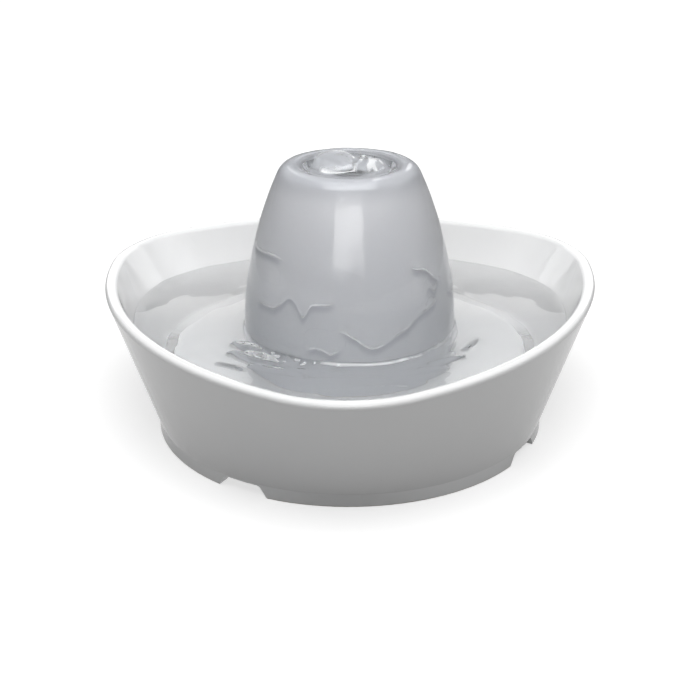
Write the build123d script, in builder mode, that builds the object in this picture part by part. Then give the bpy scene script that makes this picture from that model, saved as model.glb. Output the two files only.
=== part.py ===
from build123d import *
import os
from math import atan2, cos, degrees, radians, sin, tan

os.makedirs("parts", exist_ok=True)

# Ceramic pet water fountain: a rounded three-cornered bowl on a low foot ring, a hollow dome that
# stands in it, and under the dome a filter housing with a small magnet-driven pump.
# Millimetres, +Z up. The origin is the centre of the foot ring on the table, which is also the
# dome's axis. One corner of the bowl points to the front, -Y.

# ---- bowl ----
foot_radius = 110.0  # outside of the foot ring
foot_height = 7.5  # straight skirt below the flare
foot_wall = 6.0
rim_height = 79.0  # table to the top of the rim
corner_reach = 153.4  # axis to the rim's outer edge at a corner, before it is rounded
side_reach = 131.9  # the same halfway between two corners
corner_radius = 70.0  # the rim's outside radius round a corner
bowl_wall = 7.0  # measured level
rim_outer_round = 2.4
rim_inner_round = 3.4
floor_clear = 8.0  # table to the underside of the floor
floor_thickness = 6.5
floor_round = 13.0  # where the wall runs into the floor
recess_round = 2.5  # under the floor, inside the foot ring
foot_round = 0.9
notch_count = 4
notch_turn = -30.0  # degrees from the front corner to the first notch
notch_height = 6.8
notch_width = 30.0  # at the table
notch_top_width = 21.0
notch_round = 3.0
notch_lead_in = 2.0  # below the table, how far its lower edges drop away beside it
locating_ring_radius = 53.0  # outside, within the dome's lower edge
locating_ring_wall = 3.2
locating_ring_height = 3.5

# ---- dome ----
dome_height = 149.0  # table to the crest
dome_wall = 5.5
dome_base_radius = 59.6
dome_waist_radius = 58.8
dome_waist_height = 55.0  # table to where the side starts to lean in
dome_shoulder_radius = 40.5
dome_shoulder_drop = 9.0  # crest down to the end of the side
dome_crest_radius = 31.0
dish_radius = 26.0  # hollow in the top
dish_lip_drop = 4.0  # crest down to the end of the lip's round
dish_depth = 11.0
dish_floor_radius = 17.0
arch_count = 2
arch_turn = 0.0
arch_width = 20.0
arch_height = 10.0

# ---- outlet ----
riser_radius = 7.4
riser_bore_radius = 5.4
riser_stand_out = 2.0  # above the dish's floor
seal_wall = 3.2
seal_lip = 2.0  # how far its lips reach over the hole's edge
seal_lip_thickness = 1.5
seal_lip_round = 0.5

# ---- filter housing ----
housing_radius = 48.6
housing_wall = 2.0
housing_height = 69.5
housing_slot_count = 7
housing_slot_width = 3.0
housing_slot_pitch = 5.0
housing_slot_low = 4.0  # above the housing's floor
housing_slot_length = 38.0
lid_thickness = 2.2
lid_round = 0.7
lid_skirt = 3.0
lid_skirt_wall = 1.6
lid_slot_count = 6
lid_slot_radius = 26.0
lid_slot_length = 16.0
lid_slot_width = 3.0

# ---- filters ----
cartridge_width = 40.0
cartridge_height = 44.0
cartridge_thickness = 6.0
cartridge_frame = 3.0
cartridge_front = -38.5  # the frame's face towards the housing's slots
fleece_thickness = 1.0
rail_wall = 2.0
rail_lip = 3.0
foam_width = 38.0
foam_height = 40.0
foam_thickness = 13.5
foam_round = 2.5

# ---- pump ----
pump_width = 36.0
pump_height = 37.5
pump_wall = 2.0
pump_corner = 3.0
pump_lift = 4.5  # housing floor to the pump's underside
case_front = -7.5  # Y of the face that the front cover closes
case_length = 37.0
axle_height = 22.0  # pump's underside to the rotor's axis
chamber_radius = 12.0
chamber_depth = 12.5
nozzle_radius = 6.0
nozzle_bore_radius = 4.0
nozzle_height = 9.5
well_radius = 8.0  # bore that the rotor turns in
well_wall = 1.2
well_end = 24.0  # Y of the well's blind end
cover_thickness = 4.0
cover_border = 0.4  # the cover stands in from the case's outline
cover_boss_radius = 4.6
cover_boss_length = 2.0
gasket_inner_radius = 12.5
gasket_width = 1.7
gasket_thickness = 1.0
grille_count = 3
grille_pitch = 5.0
grille_slot_width = 2.5
grille_slot_height = 4.6
grille_offset = 7.7  # rotor axis to the middle of each row of slots
slider_thickness = 1.3
slider_margin = 2.2
slider_rib_width = 1.6
slider_rib_depth = 1.8
guide_wall = 1.2
guide_lip = 0.9
guide_overlap = 0.8
resin_thickness = 3.3

# ---- rotor ----
shaft_radius = 1.0
bush_radius = 2.8
rear_bush_length = 2.7
front_bush_length = 5.0
impeller_radius = 10.4
impeller_hub_radius = 4.4
blade_count = 6
blade_thickness = 1.6
blade_front = -3.4
blade_back = 3.0
shroud_thickness = 1.4
thrust_gap = 0.4  # between the impeller and each bush
magnet_radius = 7.3
magnet_front = 8.0
magnet_length = 12.0
magnet_chamfer = 0.5
sleeve_radius = 2.5

# ---- stator ----
stack_front = 10.1
stack_length = 12.0
limb_width = 5.8
limb_out = 15.4  # axis plane to the limb's outside
limb_rise = 9.0  # above the rotor's axis
yoke_low = 5.0  # pump's underside to the yoke's underside
yoke_height = 4.2
bobbin_half_length = 7.6
bobbin_wall = 0.8
bobbin_flange = 1.8
bobbin_flange_thickness = 1.0

# ---- lead, glands and cups ----
lead_radius = 1.5
gland_y = 14.0
gland_radius = 3.4
gland_tip_radius = 2.5
gland_height = 5.0
grommet_y = 37.5
grommet_radius = 6.0
grommet_flange_radius = 7.6
grommet_flange_thickness = 2.0
grommet_flange_round = 0.6
grommet_lip_radius = 7.0
grommet_lip_thickness = 1.4
lead_loop_rise = 21.5  # pump's top to the top of the lead's loop
lead_loop_turn = 7.0  # size of the loop's two shoulders
lead_bow = 1.2  # how far it bows away from the pump on its way down
lead_bow_drop = 2.0  # pump's top down to where it bows the most
lead_straight = 16.0  # housing's floor up to where it starts to run straight down
lead_bend_share = 0.45  # of the shorter run beside a corner, taken up by its arc
cup_radius = 6.5
cup_lip = 0.8
cup_neck_radius = 2.2
cup_pocket_depth = 1.0
cup_x = 11.5
cup_front_y = 0.0
cup_back_y = 22.0

# ---- clearances ----
fit_gap = 0.1  # between pieces that are pressed or glued together
loose_gap = 0.3  # between pieces that lift off or slide past each other
running_gap = 0.06  # rotor on its shaft

# ---- levels and radii that follow ----
floor_top = floor_clear + floor_thickness
housing_floor_top = floor_top + housing_wall
housing_inner_radius = housing_radius - housing_wall
housing_top = floor_top + housing_height
pump_base = housing_floor_top + pump_lift
pump_top = pump_base + pump_height
rotor_z = pump_base + axle_height
case_rear = case_front + case_length
chamber_back = case_front + chamber_depth
cavity_front = chamber_back + pump_wall
cover_front = case_front - cover_thickness
nozzle_top = pump_top + nozzle_height
dish_floor = dome_height - dish_depth
dish_underside = dish_floor - dome_wall
riser_top = dish_floor + riser_stand_out
bush_front_end = case_front + cover_boss_length
hub_front = bush_front_end + thrust_gap
sleeve_end = well_end - rear_bush_length - thrust_gap
slider_width = grille_pitch * (grille_count - 1) + grille_slot_width + 2 * slider_margin
slider_height = grille_slot_height + 2 * slider_margin
cup_places = [(x, y) for x in (-cup_x, cup_x) for y in (cup_front_y, cup_back_y)]
hole_radius = riser_radius + loose_gap + seal_wall
reach = 2 * corner_reach  # longer than anything that it cuts


def upright(y):
    """Vertical plane at depth y: sketch X is +X, sketch Y is +Z, and it extrudes to the front."""
    return Plane.XZ.offset(-y)


# The bowl's outline is six tangent arcs, three corners and three sides. Between the foot, where
# all six lie on one circle, and the rim, their centres and radii change in step, so the wall is
# straight from foot to rim and smooth all the way round.
corner_centre = corner_reach - corner_radius
side_gain = side_reach - corner_radius
side_centre = (corner_centre**2 - side_gain**2) / (2 * side_gain - corner_centre)
side_radius = side_reach + side_centre
corner_half_turn = degrees(
    atan2(side_centre * sin(radians(60)), corner_centre + side_centre * cos(radians(60)))
)


def bowl_outline(share, inset):
    """Adds the outline to the open line: share is 0 at the foot and 1 at the rim."""
    corner_arc = foot_radius + share * (corner_radius - foot_radius) - inset
    side_arc = foot_radius + share * (side_radius - foot_radius) - inset
    for corner in range(3):
        facing = -90 + 120 * corner
        away = radians(facing + 60 + 180)
        middle = share * corner_centre
        far = share * side_centre
        CenterArc(
            (middle * cos(radians(facing)), middle * sin(radians(facing))),
            corner_arc,
            facing - corner_half_turn,
            2 * corner_half_turn,
        )
        CenterArc(
            (far * cos(away), far * sin(away)),
            side_arc,
            facing + corner_half_turn,
            120 - 2 * corner_half_turn,
        )


def wall_share(height):
    """How far up the flare a height lies: 0 at the top of the skirt and 1 at the rim."""
    return (height - foot_height) / (rim_height - foot_height)


# ---------------------------------------------------------------- ceramic bowl
with BuildPart() as bowl:
    with BuildSketch():
        with BuildLine():
            bowl_outline(0, 0)
        make_face()
    extrude(amount=foot_height)
    with BuildSketch(Plane.XY.offset(foot_height)):
        with BuildLine():
            bowl_outline(0, 0)
        make_face()
    with BuildSketch(Plane.XY.offset(rim_height)):
        with BuildLine():
            bowl_outline(1, 0)
        make_face()
    loft(ruled=True)
    # the hollow
    with BuildSketch(Plane.XY.offset(floor_top)):
        with BuildLine():
            bowl_outline(wall_share(floor_top), bowl_wall)
        make_face()
    with BuildSketch(Plane.XY.offset(rim_height)):
        with BuildLine():
            bowl_outline(1, bowl_wall)
        make_face()
    loft(ruled=True, mode=Mode.SUBTRACT)
    fillet(bowl.edges().filter_by_position(Axis.Z, floor_top, floor_top), floor_round)
    fillet(bowl.faces().sort_by(Axis.Z)[-1].outer_wire().edges(), rim_outer_round)
    fillet(bowl.faces().sort_by(Axis.Z)[-1].inner_wires()[0].edges(), rim_inner_round)
    # under the floor, inside the foot ring
    with BuildSketch():
        Circle(foot_radius - foot_wall)
    extrude(amount=floor_clear, mode=Mode.SUBTRACT)
    fillet(bowl.edges().filter_by_position(Axis.Z, floor_clear, floor_clear), recess_round)
    on_table = bowl.edges().filter_by_position(Axis.Z, -fit_gap, fit_gap)
    fillet(on_table, foot_round)
    # notches that let the cord out and keep the foot from sealing on a wet floor
    for notch in range(notch_count):
        facing = radians(notch_turn - 90 + 360 / notch_count * notch)
        outward = (cos(facing), sin(facing), 0)
        sideways = (-sin(facing), cos(facing), 0)
        inside = Vector(*outward) * (foot_radius - 2 * foot_wall)
        with BuildSketch(Plane(origin=inside, x_dir=sideways, z_dir=outward)) as notch_shape:
            with BuildLine():
                Polyline(
                    (-notch_width, -notch_height),
                    (notch_width, -notch_height),
                    (notch_width, -notch_lead_in),
                    (notch_width / 2, 0),
                    (notch_top_width / 2, notch_height),
                    (-notch_top_width / 2, notch_height),
                    (-notch_width / 2, 0),
                    (-notch_width, -notch_lead_in),
                    close=True,
                )
            make_face()
            corners = notch_shape.vertices().filter_by_position(Axis.Y, 0, notch_height)
            fillet(corners, notch_round)
        extrude(amount=3 * foot_wall, mode=Mode.SUBTRACT)
    # ring that centres the dome, and the hole for the lead
    with BuildSketch(Plane.XY.offset(floor_top)):
        Circle(locating_ring_radius)
        Circle(locating_ring_radius - locating_ring_wall, mode=Mode.SUBTRACT)
    extrude(amount=locating_ring_height)
    with BuildSketch():
        with Locations((0, grommet_y)):
            Circle(grommet_radius + fit_gap)
    extrude(amount=floor_top, mode=Mode.SUBTRACT)
bowl.part.label = "ceramic_bowl"

# ---------------------------------------------------------------- ceramic dome
with BuildPart() as dome:
    with BuildSketch(Plane.XZ):
        with BuildLine():
            # outside: side, shoulder, crest and the dish in the top
            foot_line = Line((dome_base_radius, floor_top), (dome_waist_radius, dome_waist_height))
            side = TangentArc(
                foot_line @ 1,
                (dome_shoulder_radius, dome_height - dome_shoulder_drop),
                tangent=foot_line % 1,
            )
            shoulder = Spline(
                side @ 1, (dome_crest_radius, dome_height), tangents=(side % 1, (-1, 0))
            )
            lip = TangentArc(
                shoulder @ 1, (dish_radius, dome_height - dish_lip_drop), tangent=(-1, 0)
            )
            dish = Spline(lip @ 1, (dish_floor_radius, dish_floor), tangents=(lip % 1, (-1, 0)))
            axis_top = Polyline(dish @ 1, (0, dish_floor), (0, dish_underside))
            # inside, one wall thickness in
            lean = side % 1
            inner_foot = Line(
                (dome_base_radius - dome_wall, floor_top),
                (dome_waist_radius - dome_wall, dome_waist_height),
            )
            inner_side = TangentArc(
                inner_foot @ 1,
                side @ 1 + Vector(-lean.Y, lean.X) * dome_wall,
                tangent=foot_line % 1,
            )
            under_shoulder = Spline(
                inner_side @ 1,
                (dome_crest_radius, dome_height - dome_wall),
                tangents=(inner_side % 1, (-1, 0)),
            )
            under_dish = Spline(
                under_shoulder @ 1,
                (dish_floor_radius, dish_underside),
                tangents=(lip % 1, (-1, 0)),
            )
            Line(under_dish @ 1, axis_top @ 1)
            Line(foot_line @ 0, inner_foot @ 0)
        make_face()
    revolve(axis=Axis.Z)
    with BuildSketch(Plane.XY.offset(dish_underside)):
        Circle(hole_radius)
    extrude(amount=2 * dome_wall, mode=Mode.SUBTRACT)
    for arch in range(arch_count):
        facing = radians(arch_turn + 360 / arch_count * arch)
        outward = (cos(facing), sin(facing), 0)
        sideways = (-sin(facing), cos(facing), 0)
        with BuildSketch(Plane(origin=(0, 0, floor_top), x_dir=sideways, z_dir=outward)):
            Rectangle(arch_width, 2 * arch_height - arch_width)
            with Locations((0, arch_height - arch_width / 2)):
                Circle(arch_width / 2)
        extrude(amount=reach, mode=Mode.SUBTRACT)
dome.part.label = "ceramic_dome"

# ---------------------------------------------------------------- outlet
with BuildPart() as riser:
    with BuildSketch(Plane.XY.offset(pump_top + loose_gap)):
        Circle(riser_radius)
    extrude(amount=riser_top - pump_top - loose_gap)
    with BuildSketch(Plane.XY.offset(pump_top)):
        Circle(riser_bore_radius)
    extrude(amount=riser_top - pump_top, mode=Mode.SUBTRACT)
    with BuildSketch(Plane.XY.offset(pump_top)):
        Circle(nozzle_radius + fit_gap)
    extrude(amount=nozzle_height + loose_gap, mode=Mode.SUBTRACT)
riser.part.label = "riser_tube"

with BuildPart() as seal:
    with BuildSketch(Plane.XY.offset(dish_underside - seal_lip_thickness - fit_gap)):
        Circle(hole_radius + seal_lip)
    extrude(amount=seal_lip_thickness)
    with BuildSketch(Plane.XY.offset(dish_underside - seal_lip_thickness - fit_gap)):
        Circle(hole_radius - fit_gap)
    extrude(amount=dome_wall + seal_lip_thickness + 2 * fit_gap)
    with BuildSketch(Plane.XY.offset(dish_floor + fit_gap)):
        Circle(hole_radius + seal_lip)
    extrude(amount=seal_lip_thickness)
    with BuildSketch(Plane.XY.offset(dish_underside - dome_wall)):
        Circle(riser_radius + loose_gap)
    extrude(amount=3 * dome_wall, mode=Mode.SUBTRACT)
    outer_lips = seal.edges().filter_by(GeomType.CIRCLE).group_by(SortBy.RADIUS)[-1]
    fillet(outer_lips, seal_lip_round)
seal.part.label = "outlet_seal"

# ---------------------------------------------------------------- filter housing
with BuildPart() as housing:
    with BuildSketch(Plane.XY.offset(floor_top)):
        Circle(housing_radius)
    extrude(amount=housing_height)
    with BuildSketch(Plane.XY.offset(housing_floor_top)):
        Circle(housing_inner_radius)
    extrude(amount=housing_height, mode=Mode.SUBTRACT)
    # rails that the carbon cartridge slides down between, cut to the round wall
    rail_inside = cartridge_width / 2 + loose_gap
    rail_depth = cartridge_thickness + 2 * loose_gap + 2 * rail_wall
    rail_middle = rail_inside + (rail_wall - rail_lip) / 2
    with BuildSketch(Plane.XY.offset(housing_floor_top)):
        for hand in (-1, 1):
            with Locations((hand * rail_middle, cartridge_front + cartridge_thickness / 2)):
                Rectangle(rail_wall + rail_lip, rail_depth)
        with Locations((0, cartridge_front + cartridge_thickness / 2)):
            Rectangle(2 * rail_inside, cartridge_thickness + 2 * loose_gap, mode=Mode.SUBTRACT)
        Circle(housing_inner_radius + fit_gap, mode=Mode.INTERSECT)
    extrude(amount=cartridge_height)
    # slots that water enters by
    with BuildSketch(upright(0)):
        with Locations((0, housing_floor_top + housing_slot_low + housing_slot_length / 2)):
            with GridLocations(housing_slot_pitch, 1, housing_slot_count, 1):
                SlotOverall(housing_slot_length, housing_slot_width, rotation=90)
    extrude(amount=reach, mode=Mode.SUBTRACT)
    with BuildSketch(Plane.XY.offset(floor_top)):
        with Locations((0, grommet_y)):
            Circle(grommet_flange_radius + loose_gap)
    extrude(amount=housing_wall, mode=Mode.SUBTRACT)
housing.part.label = "filter_housing"

with BuildPart() as lid:
    with BuildSketch(Plane.XY.offset(housing_top)):
        Circle(housing_radius)
    extrude(amount=lid_thickness)
    with BuildSketch(Plane.XY.offset(housing_top)):
        Circle(housing_inner_radius - loose_gap)
        Circle(housing_inner_radius - loose_gap - lid_skirt_wall, mode=Mode.SUBTRACT)
    extrude(amount=-lid_skirt)
    fillet(lid.faces().sort_by(Axis.Z)[-1].edges(), lid_round)
    with BuildSketch(Plane.XY.offset(housing_top)):
        Circle(riser_radius + loose_gap)
        with PolarLocations(lid_slot_radius, lid_slot_count):
            SlotOverall(lid_slot_length, lid_slot_width)
    extrude(amount=lid_thickness, mode=Mode.SUBTRACT)
lid.part.label = "housing_lid"

# ---------------------------------------------------------------- filters
cartridge_low = housing_floor_top + loose_gap
cartridge_middle = cartridge_low + cartridge_height / 2
cartridge_rear = cartridge_front + cartridge_thickness
window_width = cartridge_width - 2 * cartridge_frame
window_height = cartridge_height - 2 * cartridge_frame
with BuildPart() as cartridge:
    with BuildSketch(upright(cartridge_rear)):
        with Locations((0, cartridge_middle)):
            RectangleRounded(cartridge_width, cartridge_height, cartridge_frame / 2)
            Rectangle(window_width, window_height, mode=Mode.SUBTRACT)
            Rectangle(cartridge_frame / 2, window_height)
            Rectangle(window_width, cartridge_frame / 2)
    extrude(amount=cartridge_thickness)
    with BuildSketch(upright(cartridge_rear - fleece_thickness)):
        with Locations((0, cartridge_middle)):
            Rectangle(window_width, window_height)
    extrude(amount=cartridge_thickness - 2 * fleece_thickness, mode=Mode.SUBTRACT)
cartridge.part.label = "cartridge_frame"

with BuildPart() as fleece:
    for fleece_rear in (cartridge_rear - fleece_thickness, cartridge_front + 2 * fleece_thickness):
        with BuildSketch(upright(fleece_rear - fit_gap / 2)):
            with Locations((0, cartridge_middle)):
                Rectangle(window_width - fit_gap, window_height - fit_gap)
        extrude(amount=fleece_thickness - fit_gap)
fleece.part.label = "cartridge_fleece"

with BuildPart() as carbon:
    with BuildSketch(upright(cartridge_rear - 2 * fleece_thickness - fit_gap / 2)):
        with Locations((0, cartridge_middle)):
            Rectangle(window_width - fit_gap, window_height - fit_gap)
    extrude(amount=cartridge_thickness - 4 * fleece_thickness - fit_gap)
carbon.part.label = "carbon_granules"

foam_rear = cover_front - slider_thickness - slider_rib_depth - guide_lip - loose_gap
with BuildPart() as foam:
    with BuildSketch(upright(foam_rear)):
        with Locations((0, housing_floor_top + foam_height / 2)):
            RectangleRounded(foam_width, foam_height, foam_round)
    extrude(amount=foam_thickness)
foam.part.label = "foam_prefilter"

# ---------------------------------------------------------------- pump
pump_middle = pump_base + pump_height / 2
with BuildPart() as case:
    with BuildSketch(upright(case_rear)):
        with Locations((0, pump_middle)):
            RectangleRounded(pump_width, pump_height, pump_corner)
    extrude(amount=case_length)
    with BuildSketch(Plane.XY.offset(rotor_z)):
        Circle(nozzle_radius)
    extrude(amount=nozzle_top - rotor_z)
    # motor space, open to the rear, with the rotor's well left standing in it
    with BuildSketch(upright(case_rear)):
        with Locations((0, pump_middle)):
            RectangleRounded(
                pump_width - 2 * pump_wall, pump_height - 2 * pump_wall, pump_corner - pump_wall / 2
            )
    extrude(amount=case_rear - cavity_front, mode=Mode.SUBTRACT)
    with BuildSketch(upright(well_end + well_wall)):
        with Locations((0, rotor_z)):
            Circle(well_radius + well_wall)
    extrude(amount=well_end + well_wall - chamber_back)
    with BuildSketch(upright(well_end)):
        with Locations((0, rotor_z)):
            Circle(well_radius)
    extrude(amount=well_end - case_front, mode=Mode.SUBTRACT)
    # rear bush's seat: a collar at the well's blind end
    with BuildSketch(upright(well_end)):
        with Locations((0, rotor_z)):
            Circle(well_radius)
            Circle(bush_radius + fit_gap, mode=Mode.SUBTRACT)
    extrude(amount=rear_bush_length)
    # impeller chamber, gasket groove and outlet bore
    with BuildSketch(upright(chamber_back)):
        with Locations((0, rotor_z)):
            Circle(chamber_radius)
    extrude(amount=chamber_depth, mode=Mode.SUBTRACT)
    with BuildSketch(upright(case_front + gasket_thickness)):
        with Locations((0, rotor_z)):
            Circle(gasket_inner_radius + gasket_width + fit_gap)
            Circle(gasket_inner_radius - fit_gap, mode=Mode.SUBTRACT)
    extrude(amount=gasket_thickness, mode=Mode.SUBTRACT)
    with BuildSketch(Plane.XY.offset(rotor_z)):
        Circle(nozzle_bore_radius)
    extrude(amount=nozzle_top - rotor_z, mode=Mode.SUBTRACT)
    # holes for the lead's gland and pockets for the suction cups
    with BuildSketch(Plane.XY.offset(pump_top - pump_wall)):
        with Locations((0, gland_y)):
            Circle(lead_radius + loose_gap)
    extrude(amount=pump_wall, mode=Mode.SUBTRACT)
    with BuildSketch(Plane.XY.offset(pump_base)):
        with Locations(*cup_places):
            Circle(cup_neck_radius + fit_gap)
    extrude(amount=cup_pocket_depth, mode=Mode.SUBTRACT)
case.part.label = "pump_case"

with BuildPart() as gasket:
    with BuildSketch(upright(case_front + gasket_thickness)):
        with Locations((0, rotor_z)):
            Circle(gasket_inner_radius + gasket_width)
            Circle(gasket_inner_radius, mode=Mode.SUBTRACT)
    extrude(amount=gasket_thickness)
gasket.part.label = "cover_gasket"

lower_grille_z = rotor_z - grille_offset
guide_z = slider_height / 2 + fit_gap
with BuildPart() as cover:
    with BuildSketch(upright(case_front)):
        with Locations((0, pump_middle)):
            RectangleRounded(
                pump_width - 2 * cover_border, pump_height - 2 * cover_border, pump_corner
            )
    extrude(amount=cover_thickness)
    fillet(cover.faces().sort_by(Axis.Y)[0].edges(), cover_border)
    with BuildSketch(upright(bush_front_end)):
        with Locations((0, rotor_z)):
            Circle(cover_boss_radius)
    extrude(amount=cover_boss_length)
    # seat for the front bush, open towards the impeller
    with BuildSketch(upright(bush_front_end)):
        with Locations((0, rotor_z)):
            Circle(bush_radius + fit_gap)
    extrude(amount=front_bush_length + fit_gap, mode=Mode.SUBTRACT)
    with BuildSketch(upright(case_front)):
        with Locations((0, lower_grille_z)):
            with GridLocations(grille_pitch, 1, grille_count, 1):
                Rectangle(grille_slot_width, grille_slot_height)
        with Locations((0, rotor_z + grille_offset)):
            with GridLocations(grille_pitch, 1, grille_count, 1):
                Rectangle(grille_slot_width, grille_slot_height)
    extrude(amount=cover_thickness, mode=Mode.SUBTRACT)
    # two hooked guides that hold the slider
    for up in (-1, 1):
        with BuildSketch(upright(cover_front)):
            with Locations((0, lower_grille_z + up * (guide_z + guide_wall / 2))):
                Rectangle(slider_width, guide_wall)
        extrude(amount=slider_thickness + 2 * fit_gap + guide_lip)
        with BuildSketch(upright(cover_front - slider_thickness - 2 * fit_gap)):
            with Locations((0, lower_grille_z + up * (guide_z + (guide_wall - guide_overlap) / 2))):
                Rectangle(slider_width, guide_wall + guide_overlap)
        extrude(amount=guide_lip)
cover.part.label = "pump_front_cover"

with BuildPart() as slider:
    with BuildSketch(upright(cover_front - fit_gap)):
        with Locations((0, lower_grille_z)):
            Rectangle(slider_width, slider_height)
            with GridLocations(grille_pitch, 1, grille_count, 1):
                Rectangle(grille_slot_width, grille_slot_height, mode=Mode.SUBTRACT)
    extrude(amount=slider_thickness)
    with BuildSketch(upright(cover_front - fit_gap)):
        with Locations((grille_pitch / 2, lower_grille_z)):
            Rectangle(slider_rib_width, grille_slot_height)
    extrude(amount=slider_thickness + slider_rib_depth)
slider.part.label = "flow_slider"

with BuildPart() as resin:
    with BuildSketch(upright(case_rear)):
        with Locations((0, pump_middle)):
            RectangleRounded(
                pump_width - 2 * pump_wall - fit_gap,
                pump_height - 2 * pump_wall - fit_gap,
                pump_corner - pump_wall / 2,
            )
    extrude(amount=resin_thickness)
resin.part.label = "resin_fill"

# ---------------------------------------------------------------- rotor
shaft_front = bush_front_end - front_bush_length + fit_gap
with BuildPart() as shaft:
    with BuildSketch(upright(well_end - fit_gap)):
        with Locations((0, rotor_z)):
            Circle(shaft_radius)
    extrude(amount=well_end - fit_gap - shaft_front)
shaft.part.label = "impeller_shaft"

with BuildPart() as rear_bush:
    with BuildSketch(upright(well_end)):
        with Locations((0, rotor_z)):
            Circle(bush_radius)
            Circle(shaft_radius + fit_gap / 2, mode=Mode.SUBTRACT)
    extrude(amount=rear_bush_length)
rear_bush.part.label = "rear_bush"

with BuildPart() as front_bush:
    with BuildSketch(upright(bush_front_end)):
        with Locations((0, rotor_z)):
            Circle(bush_radius)
            Circle(shaft_radius + fit_gap / 2, mode=Mode.SUBTRACT)
    extrude(amount=front_bush_length)
front_bush.part.label = "front_bush"

with BuildPart() as impeller:
    with BuildSketch(upright(blade_back)):
        with Locations((0, rotor_z)):
            Circle(impeller_hub_radius)
    extrude(amount=blade_back - hub_front)
    with BuildSketch(upright(blade_back)):
        with Locations((0, rotor_z)):
            with PolarLocations(impeller_radius / 2, blade_count):
                Rectangle(impeller_radius, blade_thickness)
            Circle(impeller_radius, mode=Mode.INTERSECT)
    extrude(amount=blade_back - blade_front)
    with BuildSketch(upright(blade_back + shroud_thickness)):
        with Locations((0, rotor_z)):
            Circle(impeller_radius)
    extrude(amount=shroud_thickness)
    with BuildSketch(upright(sleeve_end)):
        with Locations((0, rotor_z)):
            Circle(sleeve_radius)
    extrude(amount=sleeve_end - blade_back)
    with BuildSketch(upright(sleeve_end)):
        with Locations((0, rotor_z)):
            Circle(shaft_radius + running_gap)
    extrude(amount=sleeve_end - hub_front, mode=Mode.SUBTRACT)
impeller.part.label = "impeller"

with BuildPart() as magnet:
    with BuildSketch(upright(magnet_front + magnet_length)):
        with Locations((0, rotor_z)):
            Circle(magnet_radius)
            Circle(sleeve_radius + fit_gap, mode=Mode.SUBTRACT)
    extrude(amount=magnet_length)
    rims = magnet.edges().filter_by(GeomType.CIRCLE).group_by(SortBy.RADIUS)[-1]
    chamfer(rims, magnet_chamfer)
magnet.part.label = "rotor_magnet"

# ---------------------------------------------------------------- stator
stack_rear = stack_front + stack_length
stack_middle = stack_front + stack_length / 2
yoke_z = pump_base + yoke_low
limb_top = rotor_z + limb_rise
with BuildPart() as core:
    with BuildSketch(upright(stack_rear)):
        with Locations((0, yoke_z + yoke_height / 2)):
            Rectangle(2 * limb_out, yoke_height)
        for hand in (-1, 1):
            with Locations((hand * (limb_out - limb_width / 2), (yoke_z + limb_top) / 2)):
                Rectangle(limb_width, limb_top - yoke_z)
            with Locations((hand * (limb_out - limb_width), rotor_z)):
                Rectangle(limb_width / 2, 2 * limb_rise)
        with Locations((0, rotor_z)):
            Circle(well_radius + well_wall + loose_gap, mode=Mode.SUBTRACT)
    extrude(amount=stack_length)
core.part.label = "stator_core"

bobbin_gap_depth = stack_length + 2 * fit_gap
bobbin_gap_height = yoke_height + 2 * fit_gap
with BuildPart() as bobbin:
    with BuildSketch(Plane.YZ.offset(-bobbin_half_length)):
        with Locations((stack_middle, yoke_z + yoke_height / 2)):
            Rectangle(bobbin_gap_depth + 2 * bobbin_wall, bobbin_gap_height + 2 * bobbin_wall)
    extrude(amount=2 * bobbin_half_length)
    for flange_x in (-bobbin_half_length, bobbin_half_length - bobbin_flange_thickness):
        with BuildSketch(Plane.YZ.offset(flange_x)):
            with Locations((stack_middle, yoke_z + yoke_height / 2)):
                Rectangle(
                    bobbin_gap_depth + 2 * bobbin_wall + 2 * bobbin_flange,
                    bobbin_gap_height + 2 * bobbin_wall + 2 * bobbin_flange,
                )
        extrude(amount=bobbin_flange_thickness)
    with BuildSketch(Plane.YZ.offset(-bobbin_half_length)):
        with Locations((stack_middle, yoke_z + yoke_height / 2)):
            Rectangle(bobbin_gap_depth, bobbin_gap_height)
    extrude(amount=2 * bobbin_half_length, mode=Mode.SUBTRACT)
bobbin.part.label = "coil_bobbin"

winding_half = bobbin_half_length - bobbin_flange_thickness - fit_gap
with BuildPart() as winding:
    with BuildSketch(Plane.YZ.offset(-winding_half)):
        with Locations((stack_middle, yoke_z + yoke_height / 2)):
            RectangleRounded(
                bobbin_gap_depth + 2 * bobbin_wall + 2 * bobbin_flange - 2 * fit_gap,
                bobbin_gap_height + 2 * bobbin_wall + 2 * bobbin_flange - 2 * fit_gap,
                bobbin_flange,
            )
            Rectangle(
                bobbin_gap_depth + 2 * bobbin_wall + fit_gap,
                bobbin_gap_height + 2 * bobbin_wall + fit_gap,
                mode=Mode.SUBTRACT,
            )
    extrude(amount=2 * winding_half)
winding.part.label = "coil_winding"

# ---------------------------------------------------------------- lead, glands and cups
with BuildPart() as gland:
    with BuildSketch(Plane.XY.offset(pump_top)):
        with Locations((0, gland_y)):
            Circle(gland_radius)
    with BuildSketch(Plane.XY.offset(pump_top + gland_height)):
        with Locations((0, gland_y)):
            Circle(gland_tip_radius)
    loft()
    with BuildSketch(Plane.XY.offset(pump_top)):
        with Locations((0, gland_y)):
            Circle(lead_radius + fit_gap)
    extrude(amount=gland_height, mode=Mode.SUBTRACT)
gland.part.label = "lead_gland"

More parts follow.
